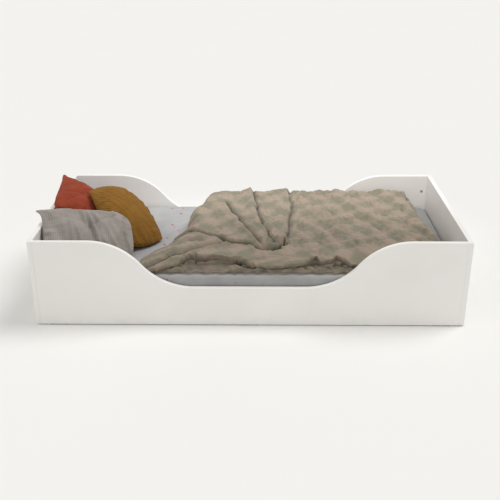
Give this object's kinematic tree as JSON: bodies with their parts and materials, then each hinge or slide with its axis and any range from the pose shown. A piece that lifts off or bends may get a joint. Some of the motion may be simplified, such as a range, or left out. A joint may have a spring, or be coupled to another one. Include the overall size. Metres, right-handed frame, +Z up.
{
  "type": "toddler floor bed",
  "caption": "Low box bed of white panels with a wave-shaped way in on both long sides, with slatted base, mattress, fitted sheet, quilt and pillows.",
  "frame": {"origin": "on the floor under the middle of the bed", "axes": "+X along the bed towards the foot end, +Y towards the back, +Z up"},
  "size_m": [1.4429, 0.742, 0.3599],
  "materials": {
    "white_paint": "satin white lacquer on board",
    "pine": "planed pine",
    "felt": "felt",
    "zinc_steel": "zinc plated",
    "white_plastic": "matte",
    "beech": "fluted beech",
    "foam": "open-cell foam",
    "cover_cloth": "knitted cover",
    "zip_tape": "zip",
    "sheet_cotton": "washed cotton with small dots",
    "quilt_cotton": "crumpled cotton in soft checks",
    "rust_cotton": "plain washed cotton",
    "mustard_cotton": "fine ribbed cotton",
    "grey_cotton": "fine striped waffle cotton",
    "filling": "fibre filling"
  },
  "bodies": {
    "bed_frame": {"front_side_panel": "white_paint", "back_side_panel": "white_paint", "head_panel": "white_paint", "foot_panel": "white_paint", "front_support_rail": "pine", "back_support_rail": "pine", "slat_01": "pine", "slat_02": "pine", "slat_03": "pine", "slat_04": "pine", "slat_05": "pine", "slat_06": "pine", "slat_07": "pine", "slat_08": "pine", "slat_09": "pine", "slat_10": "pine", "slat_11": "pine", "slat_12": "pine", "slat_13": "pine", "felt_pads": "felt", "corner_bolts": "zinc_steel", "barrel_nuts": "zinc_steel", "bolt_caps": "white_plastic", "wood_dowels": "beech", "rail_screws": "zinc_steel", "slat_screws": "zinc_steel"},
    "mattress": {"mattress_core": "foam", "mattress_cover_top": "cover_cloth", "mattress_cover_bottom": "cover_cloth", "mattress_zip": "zip_tape", "fitted_sheet": "sheet_cotton"},
    "quilt": {"quilt": "quilt_cotton"},
    "rust_pillow": {"rust_pillow_case": "rust_cotton", "rust_pillow_filling": "filling"},
    "mustard_pillow": {"mustard_pillow_case": "mustard_cotton", "mustard_pillow_filling": "filling"},
    "grey_pillow": {"grey_pillow_case": "grey_cotton", "grey_pillow_filling": "filling"}
  },
  "joints": [
    {"name": "mattress_lift", "type": "slide", "parent": "bed_frame", "child": "mattress", "axis": [0, 0, 1], "range_m": [0, 0.35]},
    {"name": "quilt_lift", "type": "slide", "parent": "mattress", "child": "quilt", "axis": [0, 0, 1], "range_m": [0, 0.3]},
    {"name": "rust_pillow_lift", "type": "slide", "parent": "mattress", "child": "rust_pillow", "axis": [0, 0, 1], "range_m": [0, 0.3]},
    {"name": "mustard_pillow_lift", "type": "slide", "parent": "rust_pillow", "child": "mustard_pillow", "axis": [0, 0, 1], "range_m": [0, 0.3]},
    {"name": "grey_pillow_lift", "type": "slide", "parent": "mustard_pillow", "child": "grey_pillow", "axis": [0, 0, 1], "range_m": [0, 0.3]}
  ]
}
